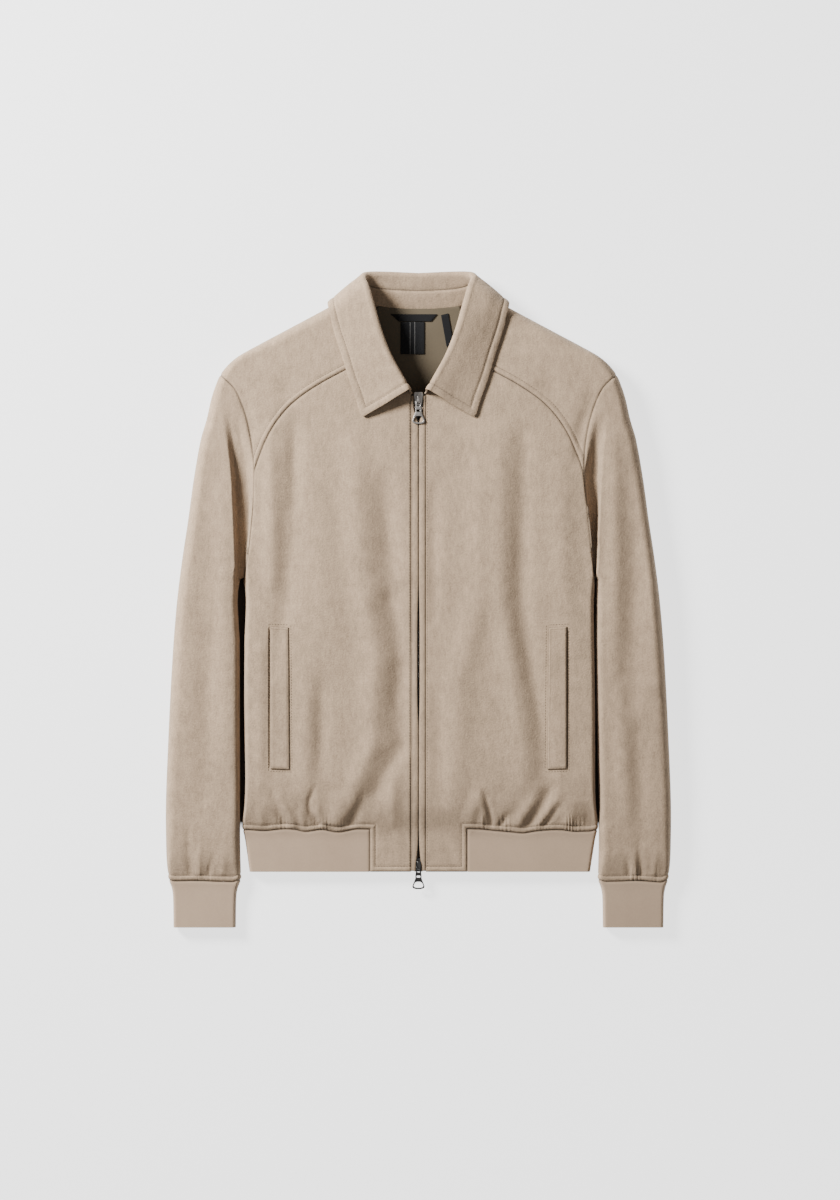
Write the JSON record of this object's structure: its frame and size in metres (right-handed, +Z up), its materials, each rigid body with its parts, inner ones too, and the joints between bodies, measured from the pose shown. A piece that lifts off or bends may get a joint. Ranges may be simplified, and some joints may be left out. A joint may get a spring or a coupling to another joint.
{
  "type": "blouson jacket laid flat",
  "caption": "Suede blouson jacket laid flat, with a turned-down collar, a zip front, welt pockets and rib bands at the hem and cuffs.",
  "frame": {"origin": "centre of the bounding box seen from above, on the surface that the jacket lies on", "axes": "+X to the right of the picture, which is the wearer's left side; +Y towards the collar; +Z up, out of the front"},
  "size_m": [0.5944, 0.7716, 0.0463],
  "materials": {
    "suede": "napped, matt",
    "rib_knit": "fine rib knit, matt",
    "lining": "smooth, slight sheen",
    "woven_label": "woven, matt",
    "zip_tape": "woven, matt",
    "gunmetal": "dark gunmetal plating, satin"
  },
  "bodies": {
    "garment": {"back_lining": "lining", "back_panel": "suede", "collar_leaf": "suede", "collar_stand": "suede", "cuff_left": "rib_knit", "cuff_right": "rib_knit", "edge_strip_left": "suede", "edge_strip_right": "suede", "front_left": "suede", "front_right": "suede", "hanger_tab": "woven_label", "hem_rib": "rib_knit", "neck_label": "woven_label", "pocket_welt_left": "suede", "pocket_welt_right": "suede", "side_tag": "woven_label", "sleeve_left": "suede", "sleeve_left_under": "suede", "sleeve_right": "suede", "sleeve_right_under": "suede", "slider_bottom": "gunmetal", "slider_top": "gunmetal", "yoke_left": "suede", "yoke_right": "suede", "zip_tape_left": "zip_tape", "zip_tape_right": "zip_tape"},
    "top_pull": {"pull_top": "gunmetal"},
    "bottom_pull": {"pull_bottom": "gunmetal"}
  },
  "joints": [
    {"name": "top_pull_hinge", "type": "hinge", "parent": "garment", "child": "top_pull", "pos_m": [0, 0.2323, 0.0326], "axis": [-1, 0, 0], "range_deg": [0, 135]},
    {"name": "bottom_pull_hinge", "type": "hinge", "parent": "garment", "child": "bottom_pull", "pos_m": [0, -0.3149, 0.01482], "axis": [-1, 0, 0], "range_deg": [0, 135]}
  ]
}
